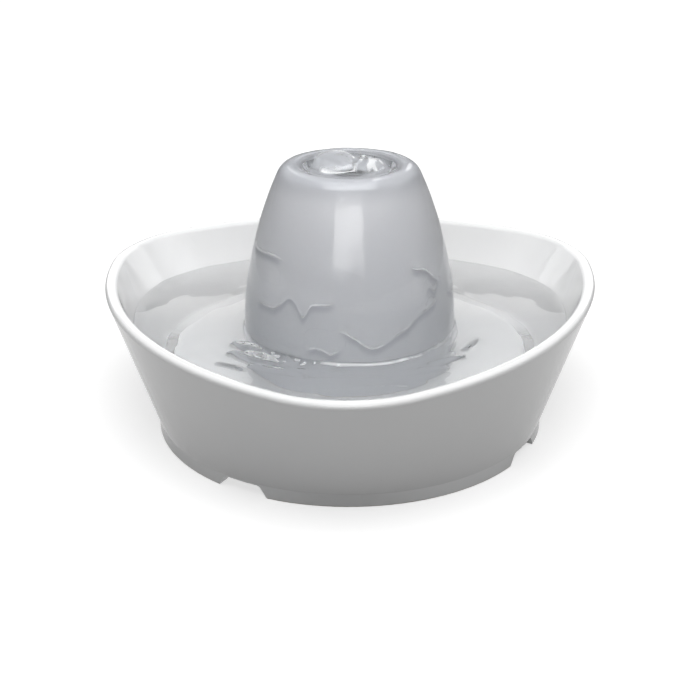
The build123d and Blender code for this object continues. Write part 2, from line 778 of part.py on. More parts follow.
grommet_low = floor_clear - grommet_lip_thickness
grommet_top = floor_top + grommet_flange_thickness
with BuildPart() as grommet:
    with BuildSketch(Plane.XY.offset(grommet_low)):
        with Locations((0, grommet_y)):
            Circle(grommet_lip_radius)
    extrude(amount=grommet_lip_thickness)
    with BuildSketch(Plane.XY.offset(grommet_low)):
        with Locations((0, grommet_y)):
            Circle(grommet_radius)
    extrude(amount=grommet_top - grommet_low)
    with BuildSketch(Plane.XY.offset(floor_top)):
        with Locations((0, grommet_y)):
            Circle(grommet_flange_radius)
    extrude(amount=grommet_flange_thickness)
    outer_rims = grommet.edges().filter_by(GeomType.CIRCLE).group_by(Axis.Z)
    fillet(outer_rims[-1], grommet_flange_round)
    with BuildSketch(Plane.XY.offset(grommet_low)):
        with Locations((0, grommet_y)):
            Circle(lead_radius + fit_gap)
    extrude(amount=grommet_top - grommet_low, mode=Mode.SUBTRACT)
grommet.part.label = "floor_grommet"

# The lead leaves the pump's top, turns over in a loop behind the riser and goes down through the
# floor. Each point is (Y, Z), and each arc is as large as its two runs allow.
loop_top = pump_top + lead_loop_rise
lead_points = [
    (gland_y, pump_top - pump_wall / 2),
    (gland_y, loop_top - lead_loop_turn),
    (gland_y + lead_loop_turn, loop_top),
    (grommet_y - lead_loop_turn, loop_top),
    (grommet_y, loop_top - lead_loop_turn),
    (grommet_y + lead_bow, pump_top - lead_bow_drop),
    (grommet_y, housing_floor_top + lead_straight),
    (grommet_y, grommet_low),
]
lead_radii = []
for before, corner, after in zip(lead_points, lead_points[1:], lead_points[2:]):
    run_in = Vector(*corner) - Vector(*before)
    run_out = Vector(*after) - Vector(*corner)
    half_turn = radians(run_in.get_angle(run_out)) / 2
    lead_radii.append(lead_bend_share * min(run_in.length, run_out.length) / tan(half_turn))
print("lead's arcs:", [round(radius, 1) for radius in lead_radii])
with BuildPart() as lead:
    with BuildLine(Plane.YZ):
        FilletPolyline(*lead_points, radius=lead_radii)
    with BuildSketch(Plane.XY.offset(pump_top - pump_wall / 2)):
        with Locations((0, gland_y)):
            Circle(lead_radius)
    sweep()
lead.part.label = "pump_lead"

with BuildPart() as cups:
    for cup_x_place, cup_y_place in cup_places:
        with BuildSketch(Plane.XZ.offset(-cup_y_place)):
            with BuildLine():
                Polyline(
                    (cup_x_place, housing_floor_top + pump_lift / 2),
                    (cup_x_place + cup_radius - cup_lip, housing_floor_top),
                    (cup_x_place + cup_radius, housing_floor_top),
                    (cup_x_place + cup_radius, housing_floor_top + cup_lip),
                    (cup_x_place + cup_neck_radius, pump_base - cup_lip),
                    (cup_x_place + cup_neck_radius, pump_base + cup_pocket_depth - fit_gap),
                    (cup_x_place, pump_base + cup_pocket_depth - fit_gap),
                    close=True,
                )
            make_face()
        revolve(axis=Axis((cup_x_place, cup_y_place, 0), (0, 0, 1)))
cups.part.label = "suction_cups"

# ---------------------------------------------------------------- files
pieces = (
    bowl, dome, riser, seal, housing, lid, cartridge, fleece, carbon, foam, case, gasket, cover,
    slider, resin, shaft, rear_bush, front_bush, impeller, magnet, core, bobbin, winding, gland,
    grommet, lead, cups,
)
for piece in pieces:
    export_step(piece.part, f"parts/{piece.part.label}.step")
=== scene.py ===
from math import cos, pi, radians, sin

import bpy
import numpy as np
from mathutils import Matrix, Vector, noise
from mathutils.bvhtree import BVHTree


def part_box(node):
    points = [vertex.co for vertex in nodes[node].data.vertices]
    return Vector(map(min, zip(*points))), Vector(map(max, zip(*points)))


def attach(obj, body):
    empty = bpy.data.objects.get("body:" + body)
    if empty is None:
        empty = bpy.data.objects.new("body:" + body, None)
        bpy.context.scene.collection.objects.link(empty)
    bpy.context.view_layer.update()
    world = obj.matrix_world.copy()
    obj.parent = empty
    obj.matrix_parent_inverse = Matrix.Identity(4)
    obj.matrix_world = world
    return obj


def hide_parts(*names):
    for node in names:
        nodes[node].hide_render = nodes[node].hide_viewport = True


# A pet water fountain with its pump running: a glazed three-cornered bowl, the pool in it, and a
# glazed dome that water wells out of and runs down. Metres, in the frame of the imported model.
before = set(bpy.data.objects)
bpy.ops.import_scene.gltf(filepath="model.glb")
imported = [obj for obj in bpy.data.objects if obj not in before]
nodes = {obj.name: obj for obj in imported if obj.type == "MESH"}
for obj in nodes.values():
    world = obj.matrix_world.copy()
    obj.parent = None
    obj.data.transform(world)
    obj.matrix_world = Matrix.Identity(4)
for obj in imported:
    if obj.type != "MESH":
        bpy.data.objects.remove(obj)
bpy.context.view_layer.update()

MM = 0.001
WATER_LEVEL = 56.0 * MM  # table to the pool's surface
DISH_LEVEL = 149.4 * MM  # table to the water that brims over the dome's top
SINK = 0.3 * MM  # how far water reaches into the glaze, so that no air shows between
DOME_FOOT = 59.0 * MM  # the dome's radius where it meets the pool

# ------------------------------------------------------------------ camera
CAMERA_AWAY = 0.6841  # from the dome's axis
CAMERA_HEIGHT = 0.3408
CAMERA_TURN = radians(0.72)  # about the dome's axis, away from straight in front
CAMERA_DROP = radians(23.80)  # below the horizon
CAMERA_ROLL = radians(-0.21)
CAMERA_LENS = 67.05
CAMERA_SHIFT = 0.00045

camera = bpy.data.objects.new("camera", bpy.data.cameras.new("camera"))
camera.location = (CAMERA_AWAY * sin(CAMERA_TURN), -CAMERA_AWAY * cos(CAMERA_TURN), CAMERA_HEIGHT)
level_view = Matrix.Rotation(CAMERA_TURN, 3, "Z") @ Matrix.Rotation(pi / 2 - CAMERA_DROP, 3, "X")
camera.rotation_euler = (level_view @ Matrix.Rotation(CAMERA_ROLL, 3, "Z")).to_euler()
camera.data.lens = CAMERA_LENS
camera.data.sensor_width = 36.0
camera.data.shift_x = CAMERA_SHIFT
camera.data.clip_start = 0.01
bpy.context.scene.collection.objects.link(camera)
bpy.context.scene.camera = camera


# ------------------------------------------------------------------ shader maths
class Socket:
    """A node's output, with the sums that the finishes below are written in."""

    def __init__(self, tree, out):
        self.tree = tree
        self.out = out

    def maths(self, operation, *others):
        return self.tree.node("ShaderNodeMath", {"operation": operation}, self, *others)

    def __add__(self, other):
        return self.maths("ADD", other)

    def __sub__(self, other):
        return self.maths("SUBTRACT", other)

    def __mul__(self, other):
        return self.maths("MULTIPLY", other)

    def __rsub__(self, other):
        return self.tree.node("ShaderNodeMath", {"operation": "SUBTRACT"}, other, self)

    __radd__ = __add__

    def above(self, low, high):
        """0 below low, 1 above high and smooth between."""
        return self.tree.node(
            "ShaderNodeMapRange", {"interpolation_type": "SMOOTHSTEP"}, self, low, high, 0.0, 1.0
        )

    def below(self, low, high):
        return 1 - self.above(low, high)

    def sine(self):
        return self.maths("SINE")


class Finish:
    """A material and its node tree."""

    def __init__(self, name):
        self.material = bpy.data.materials.new(name)
        self.material.use_nodes = True
        self.nodes = self.material.node_tree.nodes
        self.links = self.material.node_tree.links
        self.shader = self.nodes["Principled BSDF"]
        self.place = self.node("ShaderNodeTexCoord", output="Object")

    def feed(self, socket, value):
        if isinstance(value, Socket):
            self.links.new(value.out, socket)
        elif isinstance(value, tuple) and len(value) == 3 and socket.type == "RGBA":
            socket.default_value = (*value, 1.0)
        else:
            socket.default_value = value

    def node(self, kind, settings=None, *inputs, output=0, **named):
        """A node of that kind with its settings, then its inputs in order or by name."""
        made = self.nodes.new(kind)
        for setting, value in (settings or {}).items():
            setattr(made, setting, value)
        for socket, value in zip(made.inputs, inputs):
            self.feed(socket, value)
        for socket_name, value in named.items():
            self.feed(made.inputs[socket_name.replace("_", " ")], value)
        return Socket(self, made.outputs[output])

    def axis(self, letter):
        return self.node("ShaderNodeSeparateXYZ", None, self.place, output=letter)

    def noise(self, per_metre, detail=2.0, place=None, rough=0.5):
        return self.node(
            "ShaderNodeTexNoise", None, Vector=place or self.place, Scale=per_metre, Detail=detail,
            Roughness=rough,
        )

    def stretched(self, scale):
        """The piece's own place, stretched by a scale along X, Y and Z."""
        return self.node("ShaderNodeMapping", None, Vector=self.place, Scale=scale)

    def mix(self, share, first, second):
        """A colour between two, by share."""
        made = self.nodes.new("ShaderNodeMix")
        made.data_type = "RGBA"
        self.feed(made.inputs[0], share)
        self.feed(made.inputs[6], first)
        self.feed(made.inputs[7], second)
        return Socket(self, made.outputs[2])

    def attribute(self, name):
        return self.node("ShaderNodeAttribute", {"attribute_name": name}, output="Fac")

    def across(self):
        """Distance from the Z axis."""
        return self.node(
            "ShaderNodeVectorMath", {"operation": "LENGTH"}, self.stretched((1, 1, 0)), output="Value"
        )

    def cells(self, per_metre, output="Distance"):
        return self.node(
            "ShaderNodeTexVoronoi", None, Vector=self.place, Scale=per_metre, output=output
        )

    def veil(self, share, colour):
        """Covers the finish with a dull white layer, such as bubbles and painted highlights, by share."""
        layer = self.node("ShaderNodeBsdfDiffuse", None, Color=colour)
        both = self.nodes.new("ShaderNodeMixShader")
        self.feed(both.inputs[0], share)
        self.links.new(self.shader.outputs[0], both.inputs[1])
        self.links.new(layer.out, both.inputs[2])
        self.links.new(both.outputs[0], self.nodes["Material Output"].inputs["Surface"])

    def bump(self, height, distance, strength=1.0):
        relief = self.node(
            "ShaderNodeBump", None, Strength=strength, Distance=distance, Height=height
        )
        self.links.new(relief.out, self.shader.inputs["Normal"])

    def set(self, **values):
        for name, value in values.items():
            self.feed(self.shader.inputs[name.replace("_", " ")], value)


def dress(node, finish):
    """Gives a CAD node its finish."""
    for slot in nodes[node].material_slots:
        slot.material = finish.material


# ------------------------------------------------------------------ finishes
def glaze(name, body, thin, foot_line):
    """Glossy glaze over pale clay: body is its colour, drifting in soft clouds up to halfway towards thin.
    Below foot_line the clay is bare."""
    finish = Finish(name)
    height = finish.axis("Z")
    cloud = finish.noise(9.0, 3.0)
    drift = finish.noise(38.0, 4.0)
    colour = finish.mix(cloud.above(0.35, 0.65) * 0.5, body, thin)
    speck = finish.noise(620.0, 1.0).above(0.79, 0.83)
    colour = finish.mix(speck * 0.25, colour, (0.45, 0.43, 0.40))
    bare = height.below(foot_line - 0.4 * MM, foot_line)
    grit = finish.noise(1500.0, 3.0)
    clay = finish.mix(grit, (0.60, 0.57, 0.52), (0.74, 0.71, 0.66))
    colour = finish.mix(bare, colour, clay)
    orange_peel = finish.noise(130.0, 2.0) * 0.6 + drift * 0.4
    relief = orange_peel * (1 - bare) + grit * bare
    finish.bump(relief, 0.12 * MM, 0.5)
    finish.set(
        Base_Color=colour,
        Roughness=0.04 + drift * 0.04 + bare * 0.6,
        Coat_Weight=(1 - bare) * 0.3,
        Coat_Roughness=0.03,
        IOR=1.5,
    )
    return finish


def water(name, tint):
    """Clear water with a faint fine ripple."""
    finish = Finish(name)
    fine = finish.noise(260.0, 2.0)
    finish.set(
        Base_Color=finish.mix(fine, tint, tuple(0.985 * part for part in tint)),
        Roughness=0.01,
        Transmission_Weight=1.0,
        IOR=1.333,
    )
    return finish, fine


POOL_PAINTED_SHADE = (0.76, 0.775, 0.79)  # painted shade: the water is darker in the dome's shade and before it
POOL_TINT_BEHIND = (1.0, 1.0, 1.0)
PAINTED_PALENESS_BEHIND = 0.24  # painted light: how much paler a white veil makes the water behind the dome
# white of froth and of painted highlights
WHITE_OF_FROTH_AND_HIGHLIGHT = (0.93, 0.94, 0.95)


def still_water():
    """The pool: darker with painted shade before the dome and paler with painted light behind it. A point
    attribute gives how white the water is, with painted highlights, and with bubbles where the fall stirs
    it.
    """
    finish, fine = water("pool_water", POOL_PAINTED_SHADE)
    # painted shade before the dome, fading out towards the back
    behind = finish.axis("Y").above(-4 * MM, 38 * MM)
    finish.set(Base_Color=finish.mix(behind, POOL_PAINTED_SHADE, POOL_TINT_BEHIND))
    finish.bump(fine, 0.05 * MM, 0.35)
    # painted light: the water behind the dome is made paler
    painted_paleness = finish.axis("Y").above(34 * MM, 85 * MM) * PAINTED_PALENESS_BEHIND
    # painted highlights and bubbles whiten the water as well
    finish.veil(finish.attribute("froth") + painted_paleness, WHITE_OF_FROTH_AND_HIGHLIGHT)
    return finish


LOW_DOME_PAINTED_SHADE = (0.955, 0.967, 0.975)  # painted shade: darker low on the dome, where the water has also gathered thicker
HIGH_DOME_TINT = (1.0, 1.0, 1.0)
# painted shade over the crest, and deeper painted shade in the dish
CREST_PAINTED_SHADE = (0.74, 0.75, 0.765)
DISH_PAINTED_SHADE = (0.66, 0.67, 0.68)
# painted shade under the edge of each wave
WAVE_PAINTED_SHADE = (0.70, 0.71, 0.74)


def running_water():
    """Water in a thin sheet. The attribute edge gives how far a point lies above the ragged edge of the
    nearest wave, in millimetres, force how clear that edge is, and a third attribute how white the water is
    with painted highlights on the crown. Painted shade darkens the water low on the dome, over the crest,
    in the dish and just under each wave's edge, and a painted highlight lightens it just above that edge."""
    finish, fine = water("running_water", LOW_DOME_PAINTED_SHADE)
    height = finish.axis("Z")
    edge = finish.attribute("edge")
    force = finish.attribute("force")
    # painted shade just under each wave's edge, and a painted highlight just above it
    painted_wave_shade = edge.above(-5.0, -0.8) * edge.below(-0.4, 0.3) * force
    painted_wave_highlight = edge.above(0.0, 0.6) * edge.below(0.9, 2.0) * force * finish.noise(70.0).above(0.40, 0.60)
    across = finish.across()
    # painted shade: darker low on the dome, over the crest and in the dish
    tint = finish.mix(height.above(62 * MM, 138 * MM), LOW_DOME_PAINTED_SHADE, HIGH_DOME_TINT)
    tint = finish.mix(height.above(136 * MM, 148 * MM), tint, CREST_PAINTED_SHADE)
    tint = finish.mix(across.below(23 * MM, 29 * MM) * height.above(140 * MM, 143 * MM), tint, DISH_PAINTED_SHADE)
    tint = finish.mix(painted_wave_shade, tint, WAVE_PAINTED_SHADE)
    tint = finish.mix(painted_wave_highlight, tint, (1.0, 1.0, 1.0))
    finish.bump(fine, 0.05 * MM, 0.5)
    finish.set(Base_Color=tint)
    # painted highlights on the crown and on the waves whiten the water
    finish.veil(finish.attribute("froth") + painted_wave_highlight * 0.22, WHITE_OF_FROTH_AND_HIGHLIGHT)
    return finish


BOWL_GLAZE = glaze("bowl_glaze", (0.84, 0.845, 0.85), (0.87, 0.87, 0.865), 1.0 * MM)
DOME_GLAZE = glaze("dome_glaze", (0.90, 0.91, 0.945), (0.92, 0.93, 0.95), 15.0 * MM)
POOL_WATER = still_water()
FALLING_WATER = running_water()


def moulded(name, colour, rough=0.42, grain=900.0, depth=0.05 * MM):
    """Moulded plastic: a spark-eroded skin, faint flow marks and a few scuffs."""
    finish = Finish(name)
    flow = finish.noise(24.0, 3.0, finish.stretched((1, 1, 3)))
    skin = finish.noise(grain, 2.0)
    scuff = finish.noise(160.0, 5.0, rough=0.7).above(0.60, 0.74)
    shade = finish.mix(flow.above(0.3, 0.7), tuple(0.85 * part for part in colour), colour)
    shade = finish.mix(scuff * 0.3, shade, tuple(0.5 * part + 0.3 for part in colour))
    finish.bump(skin * 0.7 + flow * 0.3, depth, 0.6)
    finish.set(Base_Color=shade, Roughness=rough + (skin - 0.5) * 0.15 + scuff * 0.10)
    return finish


def rubbery(name, colour, rough=0.6, clear=0.0):
    """Moulded rubber or silicone, dull and a little dusty."""
    finish = Finish(name)
    skin = finish.noise(700.0, 3.0)
    bloom = finish.noise(60.0, 4.0).above(0.45, 0.75)
    shade = finish.mix(bloom * 0.35, colour, tuple(0.7 * part + 0.12 for part in colour))
    finish.bump(skin, 0.04 * MM, 0.5)
    finish.set(
        Base_Color=shade, Roughness=rough + bloom * 0.12, Transmission_Weight=clear, IOR=1.42
    )
    return finish


def clear_plastic(name, tint):
    """Drawn or moulded clear plastic with fine lines along it and a little scale."""
    finish = Finish(name)
    lines = finish.noise(600.0, 2.0, finish.stretched((1, 1, 0.02)))
    scale = finish.noise(90.0, 4.0).above(0.52, 0.70)
    finish.bump(lines, 0.03 * MM, 0.5)
    finish.set(
        Base_Color=finish.mix(scale * 0.4, tint, (0.80, 0.80, 0.78)),
        Roughness=0.10 + scale * 0.30,
        Transmission_Weight=0.9,
        IOR=1.49,
    )
    return finish


def granules():
    """Black carbon grains of about a millimetre, packed tight."""
    finish = Finish("carbon_grains")
    hollow = finish.cells(850.0)
    shade = finish.cells(850.0, output="Color") * 0.6
    grain = finish.noise(4000.0, 2.0)
    finish.bump(1 - hollow * 1.2 + grain * 0.15, 0.45 * MM, 1.0)
    finish.set(
        Base_Color=finish.mix(shade, (0.012, 0.012, 0.013), (0.07, 0.07, 0.072)),
        Roughness=0.55 + grain * 0.25,
    )
    return finish


def potted():
    """Black potting resin with a glossy skin and a few pinholes."""
    finish = Finish("potting_resin")
    swirl = finish.noise(45.0, 3.0)
    pinhole = finish.cells(420.0).below(0.05, 0.12)
    finish.bump(swirl * 0.5 - pinhole, 0.20 * MM, 0.6)
    finish.set(
        Base_Color=finish.mix(swirl, (0.012, 0.012, 0.014), (0.03, 0.03, 0.032)),
        Roughness=0.14 + swirl * 0.12 + pinhole * 0.3,
    )
    return finish


def ground(name, colour, rough, pitch):
    """A hard ground surface with rings round the impeller's axis, pitch apart along it."""
    finish = Finish(name)
    rings = (finish.axis("Y") * (2 * pi / pitch)).sine()
    grain = finish.noise(2600.0, 2.0)
    shade = finish.mix(grain, tuple(0.8 * part for part in colour), colour)
    finish.bump(rings * 0.3 + grain * 0.7, 0.02 * MM, 0.6)
    finish.set(Base_Color=shade, Roughness=rough + grain * 0.12)
    return finish


def laminated():
    """A stack of stamped steel sheets half a millimetre thick, with their oxide blue-grey."""
    finish = Finish("core_sheets")
    gaps = ((finish.axis("Y") * (2 * pi / (0.5 * MM))).sine()).above(0.75, 0.95)
    oxide = finish.noise(120.0, 4.0)
    shade = finish.mix(oxide, (0.30, 0.31, 0.34), (0.50, 0.50, 0.51))
    finish.bump(1 - gaps, 0.08 * MM, 0.8)
    finish.set(
        Base_Color=finish.mix(gaps * 0.7, shade, (0.10, 0.09, 0.08)),
        Metallic=1 - gaps * 0.5,
        Roughness=0.34 + oxide * 0.2,
    )
    return finish


def wound():
    """Layers of enamelled copper wire of 0.25 mm round the bobbin, whose axis is X."""
    finish = Finish("copper_turns")
    wander = finish.noise(160.0, 2.0) * (0.5 * MM)
    turn = ((finish.axis("X") + wander) * (2 * pi / (0.25 * MM))).sine()
    shade = finish.mix(finish.noise(300.0, 2.0), (0.42, 0.13, 0.05), (0.62, 0.27, 0.12))
    finish.bump(turn, 0.08 * MM, 0.9)
    finish.set(Base_Color=shade, Metallic=0.9, Roughness=0.28 - turn * 0.05, Coat_Weight=0.5)
    return finish


def sheathed():
    """The lead's black sheath, smooth with the faint lay of the cores under it."""
    finish = Finish("lead_sheath_black")
    lay = finish.noise(380.0, 1.0, finish.stretched((1, 1, 0.4)))
    finish.bump(lay, 0.05 * MM, 0.5)
    finish.set(
        Base_Color=finish.mix(lay, (0.035, 0.035, 0.037), (0.06, 0.06, 0.062)), Roughness=0.42 + lay * 0.12
    )
    return finish


WHITE_PLASTIC = moulded("housing_white", (0.78, 0.80, 0.82))
BLACK_PLASTIC = moulded("pump_black", (0.045, 0.047, 0.05), rough=0.38, depth=0.08 * MM)
BLACK_RUBBER = rubbery("rubber_black", (0.035, 0.035, 0.037))
finishes = {
    "ceramic_bowl": BOWL_GLAZE,
    "ceramic_dome": DOME_GLAZE,
    "riser_tube": clear_plastic("riser_clear", (0.93, 0.95, 0.96)),
    "outlet_seal": rubbery("silicone_clear", (0.86, 0.87, 0.88), rough=0.32, clear=0.45),
    "filter_housing": WHITE_PLASTIC,
    "housing_lid": WHITE_PLASTIC,
    "cartridge_frame": moulded("cartridge_white", (0.88, 0.88, 0.87), rough=0.5),
    "carbon_granules": granules(),
    "pump_case": BLACK_PLASTIC,
    "pump_front_cover": BLACK_PLASTIC,
    "cover_gasket": BLACK_RUBBER,
    "flow_slider": moulded("slider_grey", (0.30, 0.32, 0.34), rough=0.45),
    "resin_fill": potted(),
    "impeller_shaft": ground("shaft_white", (0.90, 0.89, 0.86), 0.12, 0.10 * MM),
    "rear_bush": BLACK_RUBBER,
    "front_bush": BLACK_RUBBER,
    "impeller": moulded("impeller_white", (0.84, 0.86, 0.88), rough=0.30, grain=1500.0),
    "rotor_magnet": ground("ferrite_grey", (0.09, 0.09, 0.095), 0.45, 0.20 * MM),
    "stator_core": laminated(),
    "coil_bobbin": moulded("bobbin_cream", (0.84, 0.82, 0.76), rough=0.5),
    "coil_winding": wound(),
    "lead_gland": BLACK_RUBBER,
    "floor_grommet": rubbery("grommet_black", (0.03, 0.03, 0.032), rough=0.55),
    "pump_lead": sheathed(),
    "suction_cups": rubbery("cup_grey", (0.12, 0.12, 0.13), rough=0.35, clear=0.2),
}
for node, finish in finishes.items():
    dress(node, finish)


# ------------------------------------------------------------------ water
def cast_tree(node):
    """The node's surface, for finding where a straight line meets it."""
    mesh = nodes[node].data
    points = [vertex.co for vertex in mesh.vertices]
    return BVHTree.FromPolygons(points, [list(face.vertices) for face in mesh.polygons])


bowl_tree = cast_tree("ceramic_bowl")
dome_tree = cast_tree("ceramic_dome")
housing_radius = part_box("filter_housing")[1].x
floor_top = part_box("filter_housing")[0].z
ring_clear = 57.0 * MM  # outside the ring in the floor that centres the dome


def wall_radius(turn, height):
    """Axis to the bowl's inner wall, in one direction at one height."""
    outward = Vector((cos(turn), sin(turn), 0))
    start = outward * ring_clear + Vector((0, 0, height))
    return bowl_tree.ray_cast(start, outward)[0].xy.length


def deselect():
    if bpy.context.object and bpy.context.object.mode == "EDIT":
        bpy.ops.object.mode_set(mode="OBJECT")
    bpy.ops.object.select_all(action="DESELECT")


def spun(name, profile, steps, closed):
    """A profile of (radius, height) points spun about the Z axis. The attribute row keeps the
    number of the profile's point that each vertex came from."""
    deselect()
    bpy.ops.mesh.primitive_circle_add(vertices=len(profile), radius=1.0)
    piece = bpy.context.object
    piece.name = piece.data.name = name
    row = piece.data.attributes.new("row", "FLOAT", "POINT")
    for number, (radius, height) in enumerate(profile):
        piece.data.vertices[number].co = (radius, 0, height)
        row.data[number].value = number
    if not closed:
        ends = {0, len(profile) - 1}
        bpy.ops.object.mode_set(mode="EDIT")
        bpy.ops.mesh.select_mode(type="EDGE")
        bpy.ops.mesh.select_all(action="DESELECT")
        bpy.ops.object.mode_set(mode="OBJECT")
        for edge in piece.data.edges:
            edge.select = set(edge.vertices) == ends
        bpy.ops.object.mode_set(mode="EDIT")
        bpy.ops.mesh.delete(type="EDGE_FACE")
        bpy.ops.object.mode_set(mode="OBJECT")
    screw = piece.modifiers.new("spin", "SCREW")
    screw.steps = screw.render_steps = steps
    screw.use_merge_vertices = True
    screw.merge_threshold = 0.001 * MM
    bpy.ops.object.modifier_apply(modifier="spin")
    return piece


def places_of(piece):
    flat = np.zeros(3 * len(piece.data.vertices), np.float32)
    piece.data.vertices.foreach_get("co", flat)
    return flat.reshape(-1, 3)


def put(piece, places):
    """Moves the piece's points to those places."""
    piece.data.vertices.foreach_set("co", places.astype(np.float32).ravel())
    piece.data.update()


def face_outwards(piece):
    deselect()
    piece.select_set(True)
    bpy.context.view_layer.objects.active = piece
    bpy.ops.object.mode_set(mode="EDIT")
    bpy.ops.mesh.select_all(action="SELECT")
    bpy.ops.mesh.normals_make_consistent(inside=False)
    bpy.ops.object.mode_set(mode="OBJECT")


def shaped(piece, where):
    """Moves each vertex of a spun piece to where(turn, row), keeps the attributes that where gives
    besides, and turns the piece's faces outwards."""
    mesh = piece.data
    rows = np.zeros(len(mesh.vertices), np.float32)
    mesh.attributes["row"].data.foreach_get("value", rows)
    places = places_of(piece)
    turns = np.arctan2(places[:, 1], places[:, 0])
    radii, heights, marks = where(turns, np.rint(rows).astype(int))
    put(piece, np.stack([radii * np.cos(turns), radii * np.sin(turns), heights], axis=1))
    mesh.attributes.remove(mesh.attributes["row"])
    for name, values in marks.items():
        mark = mesh.attributes.new(name, "FLOAT", "POINT")
        mark.data.foreach_set("value", np.asarray(values, np.float32))
    face_outwards(piece)
    bpy.ops.object.shade_smooth()
    return piece


def lumps(places, per_metre, seed):
    """Smooth noise from -1 to 1 at each place."""
    shift = Vector((seed * 7.3, seed * 3.1, seed * 5.7))
    return np.array([noise.noise(Vector(place) * per_metre + shift) for place in places])


def on_plan(x, y):
    """The places (x, y, 0), for noise that is the same at every height."""
    return np.stack([x, y, np.zeros_like(x)], axis=1)


def smooth(low, high, value):
    share = np.clip((value - low) / (high - low), 0, 1)
    return share * share * (3 - 2 * share)


# ---- the pool
POOL_SPOKES = 480
POOL_RINGS = 118
WALL_ROWS = 14
POOL_DRAFT_RADIUS = 120 * MM  # of the round pool that is then moved out to the wall
WALL_CLIMB = 0.25 * MM  # how high the water climbs the bowl's wall
DOME_CLIMB = 1.8 * MM  # and the dome
pool_turns = [2 * pi * spoke / POOL_SPOKES for spoke in range(POOL_SPOKES)]


def pool_ripple(x, y):
    """Height of the pool's ripples: rings that spread from the dome's foot and cross swells."""
    radius = np.hypot(x, y)
    turn = np.arctan2(y, x)
    flat = on_plan(x, y)
    warp = lumps(flat, 24, 1) * 6 * MM
    away = np.clip(radius - DOME_FOOT, 0, None)
    rings = np.sin(2 * pi * (away + warp) / (9.5 * MM)) * np.exp(-away / (16 * MM))
    strength = 0.55 + 0.45 * lumps(np.stack([np.cos(turn), np.sin(turn), 0 * turn], axis=1), 2.2, 2)
    swell = lumps(flat, 34, 3) * 0.30 + lumps(flat, 75, 4) * 0.17
    return (0.45 * rings * strength + swell) * MM


CURLS = (  # place, turn, length, width and height of each curl that the falling water throws up
    ((-52 * MM, -40 * MM), radians(-38), 32 * MM, 3.8 * MM, 4.8 * MM),
    ((-51 * MM, -51 * MM), radians(-30), 34 * MM, 3.3 * MM, 4.0 * MM),
    ((-43 * MM, -56 * MM), radians(-28), 28 * MM, 2.2 * MM, 2.6 * MM),
    ((-38 * MM, -65 * MM), radians(-22), 30 * MM, 2.6 * MM, 2.6 * MM),
    ((-24 * MM, -67 * MM), radians(-16), 20 * MM, 2.2 * MM, 2.0 * MM),
    ((-62 * MM, -60 * MM), radians(-26), 20 * MM, 2.8 * MM, 1.6 * MM),
    ((-16 * MM, -66 * MM), radians(-8), 12 * MM, 2.0 * MM, 1.2 * MM),
    ((52 * MM, -52 * MM), radians(30), 24 * MM, 3.0 * MM, 1.5 * MM),
    ((66 * MM, -30 * MM), radians(62), 20 * MM, 3.0 * MM, 1.8 * MM),
    ((44 * MM, -62 * MM), radians(12), 16 * MM, 2.6 * MM, 1.3 * MM),
    ((-2 * MM, -76 * MM), radians(3), 46 * MM, 3.4 * MM, 0.9 * MM),
    ((16 * MM, -86 * MM), radians(2), 30 * MM, 2.2 * MM, 1.2 * MM),
    ((20 * MM, 68 * MM), radians(-16), 24 * MM, 3.0 * MM, 1.4 * MM),
    ((-38 * MM, 60 * MM), radians(32), 24 * MM, 3.0 * MM, 1.2 * MM),
)


def bearing(x, y):
    """Degrees round the dome from the front, with the right side at 90."""
    return np.degrees(np.arctan2(x, -y))


def curls(x, y):
    """Height of the curls of water round the dome's foot."""
    flat = on_plan(x, y)
    bend = lumps(flat, 60, 6) * 1.6 * MM
    height = np.zeros_like(x)
    for (place_x, place_y), turn, length, width, rise in CURLS:
        along = (x - place_x) * cos(turn) + (y - place_y) * sin(turn)
        across = (y - place_y) * cos(turn) - (x - place_x) * sin(turn) + bend
        body = np.clip(1 - (2 * along / length) ** 2, 0, None) ** 0.5
        height += rise * body * np.exp(-((across / (0.5 * width)) ** 2))
    return height


def pool_highlight_and_bubbles(x, y):
    """How white the pool is: a painted highlight along the line where the sheet of water meets it at the
    front, flecks of bubbles beside the line, and painted highlights on the crests of the curls."""
    flat = on_plan(x, y)
    away = np.hypot(x, y) - DOME_FOOT
    angle = bearing(x, y)
    wobble = lumps(flat, 90, 31) * 0.7 * MM
    line = np.exp(-(((away + wobble - 0.9 * MM) / (0.9 * MM)) ** 2))
    clear = smooth(-19, -9, angle) * (1 - smooth(28, 36, angle))
    faint = smooth(30, 36, angle) * (1 - smooth(68, 80, angle))
    white = line * (0.65 * clear + 0.25 * faint) * smooth(-0.7, 0.1, lumps(flat, 75, 34))
    near = smooth(0.0, 1.0 * MM, away) * (1 - smooth(4 * MM, 7 * MM, away))
    left = smooth(-52, -40, angle) * (1 - smooth(-8, 0, angle))
    white = white + 0.35 * near * left * smooth(0.22, 0.5, lumps(flat, 330, 32))
    crest = smooth(1.6 * MM, 3.2 * MM, curls(x, y)) * smooth(-0.1, 0.35, lumps(flat, 260, 33))
    return np.clip(white + 0.2 * crest, 0, 1)


